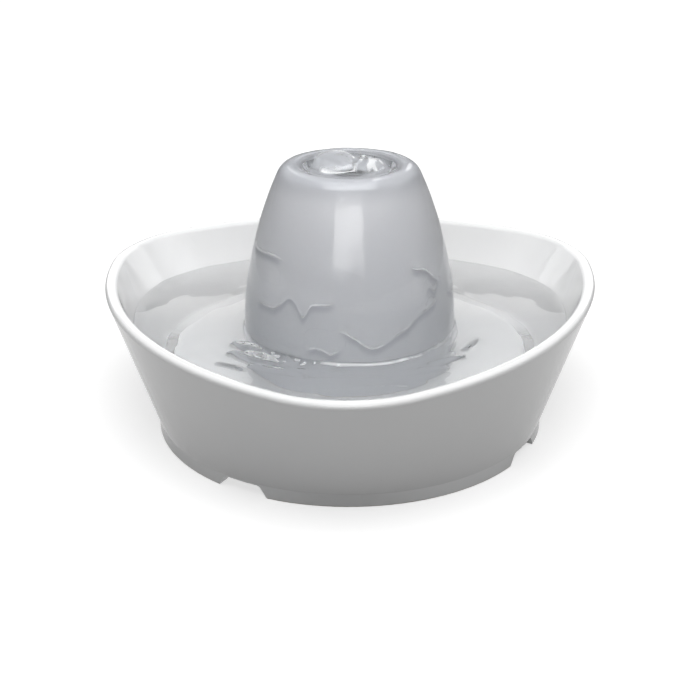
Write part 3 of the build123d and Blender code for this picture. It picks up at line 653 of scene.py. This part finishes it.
def make_pool():
    wall_heights = np.linspace(WATER_LEVEL, floor_top + 0.2 * MM, WALL_ROWS)
    wall = {
        level: np.array([wall_radius(turn, height) for turn in pool_turns])
        for level, height in enumerate(wall_heights)
    }
    inner = housing_radius - SINK
    rings = np.linspace(inner, POOL_DRAFT_RADIUS, POOL_RINGS + 1)
    profile = [(radius, WATER_LEVEL) for radius in rings]
    profile += [(POOL_DRAFT_RADIUS, height) for height in wall_heights[1:]]
    profile += [(POOL_DRAFT_RADIUS, floor_top - SINK), (inner, floor_top - SINK)]

    def where(turns, rows):
        spoke = np.rint(turns / (2 * pi) * POOL_SPOKES).astype(int) % POOL_SPOKES
        edge = wall[0][spoke] + SINK
        top = rows <= POOL_RINGS
        share = np.clip(rows / POOL_RINGS, 0, 1)
        radii = inner + (edge - inner) * share
        heights = np.full(len(turns), WATER_LEVEL)
        x, y = radii * np.cos(turns), radii * np.sin(turns)
        heights[top] += pool_ripple(x[top], y[top]) + curls(x[top], y[top])
        climb = WALL_CLIMB * np.exp(-(edge - radii) / (2.5 * MM))
        climb += DOME_CLIMB * np.exp(-np.clip(radii - DOME_FOOT, 0, None) / (1.4 * MM))
        heights[top] += climb[top]
        for level in range(1, WALL_ROWS):
            here = rows == POOL_RINGS + level
            radii[here] = wall[level][spoke[here]] + SINK
            heights[here] = wall_heights[level]
        last = rows == POOL_RINGS + WALL_ROWS
        radii[last] = wall[WALL_ROWS - 1][spoke[last]]
        heights[rows >= POOL_RINGS + WALL_ROWS] = floor_top - SINK
        radii[rows == POOL_RINGS + WALL_ROWS + 1] = inner
        # painted highlights and bubbles round the dome's foot
        froth = np.where(top & (radii > DOME_FOOT - 0.5 * MM), pool_highlight_and_bubbles(x, y), 0)
        return radii, heights, {"froth": froth}

    pool = shaped(spun("pool", profile, POOL_SPOKES, closed=True), where)
    pool.data.materials.append(POOL_WATER.material)
    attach(pool, "bowl")
    return pool


# ---- the water on the dome
FALL_SPOKES = 360
DISH_ROWS = 64
FALL_ROWS = 150
UNDER_ROWS = 24
FALL_END = WATER_LEVEL - 1.2 * MM
DISH_EDGE = 30.5 * MM  # radius where the dish's water meets the film on the side
DISH_FLOOR = 138.0 * MM


def dome_profile():
    """Points and normals of the dome's outside, from the axis over the crest down to the pool."""
    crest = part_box("ceramic_dome")[1].z
    points, slopes = [], []
    for share in np.linspace(0, 1, DISH_ROWS):
        start = Vector((0, DISH_EDGE * share, crest + 10 * MM))
        place, normal, _, _ = dome_tree.ray_cast(start, Vector((0, 0, -1)))
        if place is None or place.z < crest - 20 * MM:
            place, normal = Vector((0, start.y, DISH_FLOOR)), Vector((0, 0, 1))
        points.append((start.y, place.z))
        slopes.append((normal.y, normal.z))
    for share in np.linspace(0, 1, FALL_ROWS + 1)[1:]:
        height = points[DISH_ROWS - 1][1] + (FALL_END - points[DISH_ROWS - 1][1]) * share**0.93
        place, normal, _, _ = dome_tree.ray_cast(Vector((0, 0.1, height)), Vector((0, -1, 0)))
        points.append((place.y, place.z))
        slopes.append((normal.y, normal.z))
    return np.array(points), np.array(slopes)


CROWN = (  # centre, radius, height and how broken its surface is
    ((-7.0 * MM, -6.0 * MM), 12.5 * MM, 7.6 * MM, 0.05),
    ((10.0 * MM, -8.0 * MM), 9.5 * MM, 4.4 * MM, 0.40),
)


def crown(x, y):
    """Height of the water that wells up over the riser, above the dish's level: a broad glassy lump
    to the left and a lower, broken one to the right."""
    flat = on_plan(x, y)
    bent = lumps(flat, 70, 15) * 1.8 * MM
    height = np.zeros_like(x)
    for centre, reach, rise, ridges in CROWN:
        away = np.hypot(x - centre[0] + bent, y - centre[1] - bent) / reach
        dome = np.sqrt(np.clip(1 - away**2, 0, None))
        crest = 1 - np.abs(lumps(flat, 150, 16)) * 2
        height = np.maximum(height, rise * dome * (1 + ridges * crest))
    radius = np.hypot(x, y)
    foot = 0.2 * MM * np.sin(2 * pi * radius / (5.5 * MM)) * np.exp(-np.abs(radius - 18 * MM) / (5 * MM))
    return height + foot + 0.12 * MM * lumps(flat, 160, 14)


def crown_painted_highlights(x, y):
    """Painted highlights on the crown: along the top of its broad lump, along its foot at the front, in
    patches on the broken lump, and in small glints near its middle."""
    flat = on_plan(x, y)
    (middle_x, middle_y), reach = CROWN[0][0], CROWN[0][1]
    side, deep = (x - middle_x) / reach, (y - middle_y) / reach
    arch = 0.24 * np.sqrt(np.clip(1 - side**2, 0, None))
    top = np.exp(-(((deep - arch) / 0.10) ** 2)) * smooth(-0.95, -0.7, side) * (1 - smooth(0.93, 1.0, side))
    foot = np.exp(-(((np.hypot(side, deep) - 1.03) / 0.07) ** 2))
    foot = foot * (1 - smooth(-0.75, -0.5, deep)) * smooth(-0.75, -0.5, side)
    (middle_x, middle_y), reach = CROWN[1][0], CROWN[1][1]
    inside = 1 - smooth(0.8, 1.0, np.hypot(x - middle_x, y - middle_y) / reach)
    patches = inside * smooth(0.02, 0.12, lumps(flat, 260, 41))
    flecks = 0.5 * smooth(0.35, 0.45, lumps(flat, 330, 42)) * (1 - smooth(8 * MM, 12 * MM, np.hypot(x, y)))
    return np.clip(0.75 * top + 0.95 * foot + 0.7 * patches + flecks, 0, 1)


# Each line is the lower edge of one wave on the dome: degrees round it from the front, and
# millimetres over the table.
WAVES = (
    (
        (-60, 80.5), (-53, 81.5), (-44, 81), (-33, 89.5), (-28, 86), (-24.5, 76), (-21, 87), (-16, 87.5),
        (-5, 90),
    ),
    ((-6, 74.5), (-2, 73.5), (12, 64), (20, 68), (28, 70), (35, 75), (41, 78), (50, 80), (57, 85)),
    ((-24, 62), (-15, 64.5), (-9, 61), (-1, 66)),
    ((45, 85), (50, 92), (54, 86), (59, 94), (65, 90)),
    ((-78, 107), (-60, 108), (-41, 107)),
    ((36, 104), (48, 100), (62, 91)),
    ((66, 84), (80, 79), (96, 88), (112, 82), (130, 90), (150, 83)),
    ((112, 68), (126, 71), (150, 64), (172, 69)),
    ((-172, 78), (-150, 82), (-130, 73), (-112, 77), (-92, 70)),
    ((-170, 103), (-150, 99), (-128, 104), (-110, 101)),
)
WAVE_STEP = 0.45 * MM  # how much thicker the water is over a wave's edge
WAVE_FADE = 6  # degrees in which a wave dies out at each end


def waves(x, y, height):
    """For each point of the dome's side: millimetres over the nearest wave's edge, and how clear
    that edge is."""
    angle = bearing(x, y)
    flat = on_plan(x, y)
    ragged = lumps(flat, 110, 51) * 1.8 + lumps(flat, 300, 52) * 0.7
    edge = np.full_like(x, 30.0)
    force = np.zeros_like(x)
    for wave in WAVES:
        bearings, levels = zip(*wave)
        level = sum(np.interp(angle + shift, bearings, levels) for shift in (-2, -1, 0, 1, 2)) / 5
        above = height / MM - level - ragged
        first, last = bearings[0], bearings[-1]
        ends = smooth(first, first + WAVE_FADE, angle) * (1 - smooth(last - WAVE_FADE, last, angle))
        nearer = (ends > 0.02) & (np.abs(above) < np.abs(edge))
        edge = np.where(nearer, above, edge)
        force = np.where(nearer, ends, force)
    return edge, force


def film(turn, fallen, edge, force):
    """Thickness of the water that runs down the dome. fallen is the height lost from the crest."""
    around = np.stack([np.cos(turn), np.sin(turn), fallen / (60 * MM)], axis=1)
    sheet = 0.36 + 0.14 * lumps(around, 2.6, 21) + 0.06 * lumps(around, 7.0, 22)
    sheet = (sheet + 0.45 * smooth(20 * MM, 80 * MM, fallen)) * MM
    return sheet + WAVE_STEP * force * smooth(-0.7, 0.7, edge) * (1 - smooth(1.0, 8.0, edge))


def make_fall():
    points, slopes = dome_profile()
    under = np.linspace(len(points) - 1, 0, UNDER_ROWS + 1)
    profile = [tuple(point) for point in points]
    profile += [tuple(points[int(row)] - (0, SINK)) for row in under]
    crest = points[:, 1].max()

    def where(turns, rows):
        top = rows < len(points)
        base = np.where(top, rows, 0)
        base[~top] = under[rows[~top] - len(points)].astype(int)
        radius, height = points[base, 0], points[base, 1]
        out, up = slopes[base, 0], slopes[base, 1]
        fallen = crest - height
        side = base >= DISH_ROWS
        x, y = radius * np.cos(turns), radius * np.sin(turns)
        edge, force = waves(x, y, height)
        force = np.where(side, force, 0)
        thickness = film(turns, np.where(side, fallen, 0), edge, force)
        foot = np.clip(height - WATER_LEVEL - 0.6 * MM, 0, None)
        thickness *= np.where(side, smooth(0.0, 2.0 * MM, foot), 1)
        thickness = np.where(top, thickness, -SINK)
        new_radius = radius + out * thickness
        new_height = height + up * thickness
        dish = top & ~side
        level = DISH_LEVEL + crown(x, y)
        gap = level - new_height
        soft = 0.5 * MM
        rise = 0.5 * (gap + np.sqrt(gap**2 + soft**2))
        lifted = new_height + rise - 0.5 * soft * smooth(0.0, 30 * MM, radius)
        fade = smooth(27 * MM, DISH_EDGE, radius)
        new_height = np.where(dish, lifted * (1 - fade) + new_height * fade, new_height)
        new_radius = np.where(dish, radius, new_radius)
        # painted highlights on the crown
        froth = np.where(dish, crown_painted_highlights(x, y), 0)
        return new_radius, new_height, {"edge": edge, "force": force, "froth": froth}

    fall = shaped(spun("falling_water", profile, FALL_SPOKES, closed=False), where)
    fall.data.materials.append(FALLING_WATER.material)
    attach(fall, "dome")


pool = make_pool()
make_fall()


# ------------------------------------------------------------------ foam and fleece
def open_foam():
    """Black open-cell foam, with pores of a millimetre and a half, darkened inside with painted shade."""
    finish = Finish("filter_foam")
    pore_and_its_shade = finish.cells(640.0).below(0.28, 0.50)
    fine = finish.noise(2200.0, 2.0)
    shade = finish.mix(fine, (0.07, 0.075, 0.08), (0.14, 0.15, 0.16))
    finish.bump(fine * 0.2 - pore_and_its_shade, 0.6 * MM, 0.9)
    # painted shade: the pores are darkened towards black
    finish.set(Base_Color=finish.mix(pore_and_its_shade * 0.8, shade, (0.012, 0.012, 0.013)), Roughness=0.85)
    return finish


def needled_fleece():
    """White needled fleece: short fibres that lie every way, and the needles' rows of dimples."""
    finish = Finish("filter_fleece")
    flat = finish.noise(900.0, 3.0, finish.stretched((0.25, 1, 1)))
    steep = finish.noise(900.0, 3.0, finish.stretched((1, 1, 0.25)))
    dimple = finish.cells(450.0).below(0.10, 0.25)
    fibre = flat * 0.5 + steep * 0.5
    shade = finish.mix(fibre.above(0.35, 0.65), (0.74, 0.74, 0.71), (0.92, 0.92, 0.90))
    finish.bump(fibre - dimple * 0.5, 0.25 * MM, 0.9)
    finish.set(Base_Color=shade, Roughness=0.92, Sheen_Weight=0.2)
    return finish


def apply(piece, kind, **settings):
    modifier = piece.modifiers.new("step", kind)
    for setting, value in settings.items():
        setattr(modifier, setting, value)
    bpy.ops.object.modifier_apply(modifier="step")


FOAM_INSET = 0.6 * MM
FOAM_PULL = 0.5 * MM  # how far a side pulls in between its corners
FOAM_PORE = 0.25 * MM
FOAM_ROUND = 2.2 * MM


def make_foam():
    """The block of foam in front of the pump: soft corners, slack sides and an open skin."""
    low, high = (np.array(corner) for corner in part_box("foam_prefilter"))
    middle, half = (low + high) / 2, (high - low) / 2 - FOAM_INSET
    deselect()
    bpy.ops.mesh.primitive_cube_add(size=2.0)
    piece = bpy.context.object
    piece.name = piece.data.name = "prefilter_foam"
    put(piece, places_of(piece) * half + middle)
    apply(piece, "BEVEL", width=FOAM_ROUND, segments=5)
    apply(piece, "REMESH", mode="VOXEL", voxel_size=0.7 * MM)
    places = places_of(piece)
    share = (places - middle) / half
    slack = np.clip(1 - share**2, 0, 1)
    pull = FOAM_PULL * np.sign(share) * np.abs(share) ** 4
    pull[:, 0] *= slack[:, 1] * slack[:, 2]
    pull[:, 1] *= -0.6 * slack[:, 0] * slack[:, 2]
    pull[:, 2] *= slack[:, 0] * slack[:, 1]
    pores = FOAM_PORE * lumps(places, 700, 61)[:, None] * share
    put(piece, places - pull - pores)
    bpy.ops.object.shade_smooth()
    piece.data.materials.append(open_foam().material)
    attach(piece, "bowl")
    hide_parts("foam_prefilter")


FLEECE_FLAT = (34 * MM, 38 * MM)
FLEECE_THICK = 0.7 * MM
FLEECE_CLEAR = 0.2 * MM  # both edges together, to the frame
FLEECE_PLACES = {"fleece_front": -37.0 * MM, "fleece_back": -34.0 * MM}


def make_fleece(name, middle_y, finish):
    """One sheet of fleece, welded in its frame and held flat by the bars that cross it."""
    low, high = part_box("cartridge_fleece")
    middle = (low + high) / 2
    deselect()
    bpy.ops.mesh.primitive_grid_add(x_subdivisions=60, y_subdivisions=66, size=1.0)
    piece = bpy.context.object
    piece.name = piece.data.name = name
    across, along = places_of(piece)[:, 0], places_of(piece)[:, 1]
    flat = np.stack([across, along, 0 * across], axis=1)
    swell = np.abs(np.sin(2 * pi * across)) * np.abs(np.sin(2 * pi * along)) * 0.10
    tuft = lumps(flat, 22, 71) * 0.05
    out = np.sign(middle_y - middle.y)
    places = np.stack(
        [
            middle.x + across * (FLEECE_FLAT[0] - FLEECE_CLEAR),
            middle_y + out * (swell + tuft) * MM,
            middle.z + along * (FLEECE_FLAT[1] - FLEECE_CLEAR),
        ],
        axis=1,
    )
    put(piece, places)
    apply(piece, "SOLIDIFY", thickness=FLEECE_THICK, offset=0.0)
    face_outwards(piece)
    bpy.ops.object.shade_smooth_by_angle(angle=radians(40))
    piece.data.materials.append(finish.material)
    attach(piece, "bowl")
    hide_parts("cartridge_fleece")


make_foam()
fleece_finish = needled_fleece()
for fleece_name, fleece_y in FLEECE_PLACES.items():
    make_fleece(fleece_name, fleece_y, fleece_finish)


# ------------------------------------------------------------------ studio
FLOOR_SIZE = 12.0
FLOOR_COLOUR = 0.45
FLOOR_BOUNCE = 0.33
FLOOR_GLOW = 0.68
FLOOR_IN_GLOSS = (0.55, 0.15)  # before and behind the fountain
ROOM = (0.20, 0.70)  # how bright the studio is in gloss, low down and above
ROOM_STEP = (sin(radians(15)), sin(radians(24)))  # between those two
FLOOR_FADE = (0.22, 0.80)  # metres from the dome's axis
FOUNTAIN_MIDDLE = Vector((0, 0, 0.1))


def studio_world():
    """White as the camera sees it, a grey room in gloss and through water that is darker low down,
    and no light on matt surfaces."""
    world = bpy.data.worlds.new("studio")
    world.use_nodes = True
    bpy.context.scene.world = world
    tree = world.node_tree

    def node(kind, **settings):
        made = tree.nodes.new(kind)
        for setting, value in settings.items():
            setattr(made, setting, value)
        return made

    path = node("ShaderNodeLightPath")
    direction = node("ShaderNodeTexCoord")
    upward = node("ShaderNodeSeparateXYZ")
    tree.links.new(direction.outputs["Generated"], upward.inputs[0])
    room = node("ShaderNodeMapRange", interpolation_type="SMOOTHSTEP")
    tree.links.new(upward.outputs["Z"], room.inputs["Value"])
    for socket, value in zip(room.inputs[1:5], (*ROOM_STEP, *ROOM)):
        socket.default_value = value
    seen = node("ShaderNodeMath", operation="MAXIMUM")
    tree.links.new(room.outputs[0], seen.inputs[0])
    tree.links.new(path.outputs["Is Camera Ray"], seen.inputs[1])
    direct = node("ShaderNodeMath", operation="LESS_THAN")
    tree.links.new(path.outputs["Diffuse Depth"], direct.inputs[0])
    direct.inputs[1].default_value = 0.5
    strength = node("ShaderNodeMath", operation="MULTIPLY")
    tree.links.new(seen.outputs[0], strength.inputs[0])
    tree.links.new(direct.outputs[0], strength.inputs[1])
    tree.links.new(strength.outputs[0], tree.nodes["Background"].inputs["Strength"])
    tree.nodes["Background"].inputs["Color"].default_value = (1, 1, 1, 1)
    world.cycles.sampling_method = "NONE"


def studio_floor():
    """White as the camera sees it, paler towards its edges than the lights leave it, and greyer in
    gloss and as a light on the object."""
    bpy.ops.mesh.primitive_plane_add(size=FLOOR_SIZE, location=(0, 0, -0.02 * MM))
    floor = bpy.context.object
    floor.name = "floor"
    finish = Finish("floor_white")
    seen = finish.node("ShaderNodeLightPath", output="Is Camera Ray")
    lit = finish.node("ShaderNodeLightPath", output="Diffuse Depth").below(0.0, 1.0)
    away = finish.node("ShaderNodeVectorMath", {"operation": "LENGTH"}, finish.place, output="Value")
    backdrop = FLOOR_GLOW + away.above(*FLOOR_FADE) * (1.0 - FLOOR_GLOW)
    before, behind = FLOOR_IN_GLOSS
    gloss = before + finish.axis("Y").above(0.15, 0.25) * (behind - before)
    finish.set(
        Base_Color=finish.mix(seen, (FLOOR_BOUNCE,) * 3, (FLOOR_COLOUR,) * 3),
        Roughness=0.9,
        Specular_IOR_Level=0.0,
        Emission_Color=(1.0, 1.0, 1.0),
        Emission_Strength=seen * backdrop + (lit - seen) * gloss,
    )
    finish.material.cycles.emission_sampling = "NONE"
    floor.data.materials.append(finish.material)


def softbox(name, place, size, watts):
    """A rectangle of light that faces the fountain, unseen itself."""
    light = bpy.data.lights.new(name, "AREA")
    light.shape = "RECTANGLE"
    light.size, light.size_y = size
    light.energy = watts
    box = bpy.data.objects.new(name, light)
    box.location = place
    box.rotation_euler = (FOUNTAIN_MIDDLE - Vector(place)).to_track_quat("-Z", "Y").to_euler()
    box.visible_camera = False
    bpy.context.scene.collection.objects.link(box)
    return box


def matt_only(box):
    """Makes a light that shows in nothing glossy."""
    box.visible_glossy = False


def gloss_only(box):
    """Makes a light that shows in gloss and in water, and adds nothing to matt surfaces, also not
    to those under water."""
    box.visible_diffuse = False
    box.data.use_nodes = True
    tree = box.data.node_tree
    path = tree.nodes.new("ShaderNodeLightPath")
    direct = tree.nodes.new("ShaderNodeMath")
    direct.operation = "LESS_THAN"
    direct.inputs[1].default_value = 0.5
    tree.links.new(path.outputs["Diffuse Depth"], direct.inputs[0])
    tree.links.new(direct.outputs[0], tree.nodes["Emission"].inputs["Strength"])


def falls_only_on(box, *lit):
    """Makes a light that reaches those pieces alone."""
    reached = bpy.data.collections.new(box.name + "_reaches")
    for piece in lit:
        reached.objects.link(piece)
    box.light_linking.receiver_collection = reached


deselect()
studio_world()
studio_floor()
matt_only(softbox("overhead", (0.0, 0.0, 1.4), (1.0, 1.0), 10.0))
matt_only(softbox("overhead_front", (0.0, -0.6, 1.4), (1.6, 0.6), 16.5))
softbox("side_fill", (1.2, 0.0, 1.2), (0.9, 0.9), 1.2)
softbox("front_fill", (0.0, -1.9, 0.75), (1.3, 0.7), 5.0)
low_window = softbox("low_window", (0.0, 0.225, 0.147), (0.56, 0.12), 0.29)
gloss_only(low_window)
falls_only_on(low_window, pool, nodes["ceramic_bowl"])
gloss_only(softbox("strip", (0.0, -1.2, 0.995), (0.95, 1.11), 2.45))
gloss_only(softbox("strip_below", (-0.24, -1.2, 0.37), (0.45, 0.27), 0.25))

bpy.context.scene.view_settings.view_transform = "Standard"
